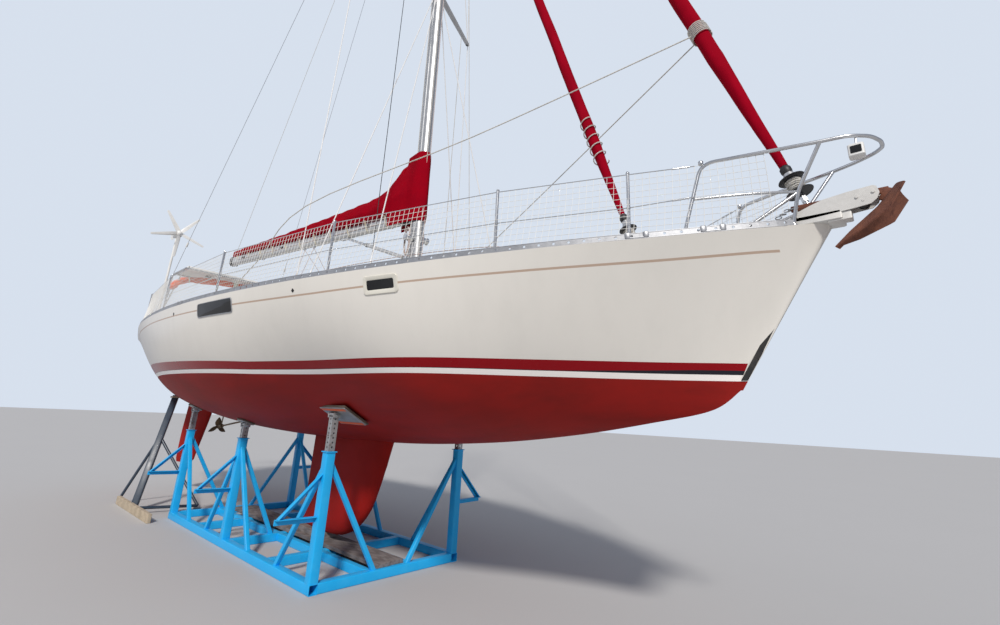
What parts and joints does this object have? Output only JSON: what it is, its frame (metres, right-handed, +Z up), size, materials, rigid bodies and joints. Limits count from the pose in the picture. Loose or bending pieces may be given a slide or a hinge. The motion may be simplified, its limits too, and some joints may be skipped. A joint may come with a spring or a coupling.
{
  "type": "cruising sailing yacht ashore in a steel cradle",
  "caption": "Fin-keeled cruising yacht with furled headsails, stowed main and wind generator, parked in a blue steel cradle with jack pads and a stern stand.",
  "frame": {"origin": "on the floor under the middle of the whole object's box, on the boat's middle plane", "axes": "+X towards the bow, +Y to port, +Z up"},
  "size_m": [13.368, 4.2244, 18.18],
  "materials": {
    "hull_gelcoat": "polished gelcoat",
    "deck_gelcoat": "satin gelcoat with moulded grip",
    "antifouling": "worn antifouling paint",
    "keel_iron": "cast iron under antifouling paint",
    "aluminium": "anodised",
    "stainless": "polished stainless steel",
    "bronze": "dull bronze with growth",
    "crimson_cloth": "woven acrylic canvas",
    "orange_cloth": "woven canvas",
    "smoked_acrylic": "smoked acrylic",
    "solar_cells": "glazed dark cells with a white edge",
    "white_plastic": "white painted casting",
    "rusty_iron": "rusty galvanising",
    "cradle_blue": "bright blue enamel with scuffs",
    "galvanised": "dull galvanised steel",
    "timber": "weathered sawn timber",
    "grey_steel": "grey paint with rust"
  },
  "bodies": {
    "boat_and_cradle": {"hull": "hull_gelcoat", "keel": "keel_iron", "shaft_and_strut": "bronze", "toe_rail_starboard": "aluminium", "toe_rail_port": "aluminium", "coachroof": "deck_gelcoat", "companionway_boards": "smoked_acrylic", "coaming_starboard": "deck_gelcoat", "coaming_port": "deck_gelcoat", "steering_pedestal": "stainless", "fore_hatch_frame": "aluminium", "mast": "aluminium", "shrouds_starboard": "stainless", "shrouds_port": "stainless", "backstays": "stainless", "bow_roller": "stainless", "plough_anchor": "rusty_iron", "genoa_stay_foot": "stainless", "staysail_stay_foot": "stainless", "cover_collar": "crimson_cloth", "pulpit": "stainless", "stanchions_starboard": "stainless", "stanchions_port": "stainless", "pushpit_starboard": "stainless", "pushpit_port": "stainless", "stern_arch": "stainless", "solar_panel_starboard": "solar_cells", "solar_panel_port": "solar_cells", "awning_roll": "orange_cloth", "turbine_pole": "stainless", "cradle_frame": "cradle_blue", "cradle_post_front_starboard": "cradle_blue", "cradle_post_front_port": "cradle_blue", "cradle_post_middle_starboard": "cradle_blue", "cradle_post_middle_port": "cradle_blue", "cradle_post_aft_starboard": "cradle_blue", "cradle_post_aft_port": "cradle_blue", "jack_front_starboard": "galvanised", "jack_front_port": "galvanised", "jack_middle_starboard": "galvanised", "jack_middle_port": "galvanised", "jack_aft_starboard": "galvanised", "jack_aft_port": "galvanised", "keel_planks": "timber", "stern_stand": "grey_steel"},
    "rudder": {"rudder_blade": "antifouling"},
    "wheel": {"steering_wheel": "stainless"},
    "propeller": {"propeller_three_blade": "bronze"},
    "boom": {"boom_and_vang": "aluminium", "sail_cover": "crimson_cloth"},
    "genoa_roll": {"genoa_furled": "crimson_cloth"},
    "staysail_roll": {"staysail_furled": "crimson_cloth"},
    "turbine_head": {"turbine_head": "white_plastic"},
    "turbine_rotor": {"turbine_rotor": "white_plastic"},
    "fore_hatch": {"fore_hatch_lid": "smoked_acrylic"},
    "saloon_hatch": {"saloon_hatch_lid": "smoked_acrylic"},
    "anchor_lid": {"anchor_locker_lid": "deck_gelcoat"},
    "locker_starboard": {"locker_lid_starboard": "deck_gelcoat"},
    "locker_port": {"locker_lid_port": "deck_gelcoat"},
    "companion_slide": {"companionway_slide": "deck_gelcoat"}
  },
  "joints": [
    {"name": "rudder_turn", "type": "hinge", "parent": "boat_and_cradle", "child": "rudder", "pos_m": [-5.14, 0, 1.6], "axis": [0, 0, 1], "range_deg": [-53, 17]},
    {"name": "wheel_turn", "type": "hinge", "parent": "boat_and_cradle", "child": "wheel", "pos_m": [-4.56, 0, 3.33], "axis": [1, 0, 0], "range_deg": [-424, 136]},
    {"name": "propeller_spin", "type": "hinge", "parent": "boat_and_cradle", "child": "propeller", "pos_m": [-4.25, 0, 1.33], "axis": [1, 0, 0], "continuous": true},
    {"name": "boom_swing", "type": "hinge", "parent": "boat_and_cradle", "child": "boom", "pos_m": [1.425, 0, 4.45], "axis": [0, 0, 1], "range_deg": [-67.5, 56.5]},
    {"name": "genoa_furl", "type": "hinge", "parent": "boat_and_cradle", "child": "genoa_roll", "pos_m": [6.21, 0, 3.25], "axis": [-0.3231, 0, 0.9464], "continuous": true},
    {"name": "staysail_furl", "type": "hinge", "parent": "boat_and_cradle", "child": "staysail_roll", "pos_m": [4.884, 0, 3.12], "axis": [-0.3196, 0, 0.9475], "continuous": true},
    {"name": "turbine_yaw", "type": "hinge", "parent": "boat_and_cradle", "child": "turbine_head", "pos_m": [-5.893, -1.1, 5.46], "axis": [0, 0, 1], "continuous": true},
    {"name": "turbine_spin", "type": "hinge", "parent": "turbine_head", "child": "turbine_rotor", "pos_m": [-5.743, -1.1, 5.46], "axis": [1, 0, 0], "continuous": true},
    {"name": "fore_hatch_open", "type": "hinge", "parent": "boat_and_cradle", "child": "fore_hatch", "pos_m": [4.2, 0, 3.0907], "axis": [0, 1, 0], "range_deg": [0, 95]},
    {"name": "saloon_hatch_open", "type": "hinge", "parent": "boat_and_cradle", "child": "saloon_hatch", "pos_m": [0.69, 0, 3.397], "axis": [0, 1, 0], "range_deg": [0, 95]},
    {"name": "anchor_lid_open", "type": "hinge", "parent": "boat_and_cradle", "child": "anchor_lid", "pos_m": [5.15, 0, 3.1205], "axis": [0, -1, 0], "range_deg": [0, 88]},
    {"name": "locker_starboard_open", "type": "hinge", "parent": "boat_and_cradle", "child": "locker_starboard", "pos_m": [-3.3, -1.082, 2.8773], "axis": [1, 0, 0], "range_deg": [0, 85]},
    {"name": "locker_port_open", "type": "hinge", "parent": "boat_and_cradle", "child": "locker_port", "pos_m": [-3.3, 1.082, 2.8773], "axis": [-1, 0, 0], "range_deg": [0, 85]},
    {"name": "companion_slide_open", "type": "slide", "parent": "boat_and_cradle", "child": "companion_slide", "axis": [1, 0, 0], "range_m": [0, 0.62]}
  ],
  "couplings": [
    {"joint": "wheel_turn", "follows": "rudder_turn", "ratio": 8}
  ]
}
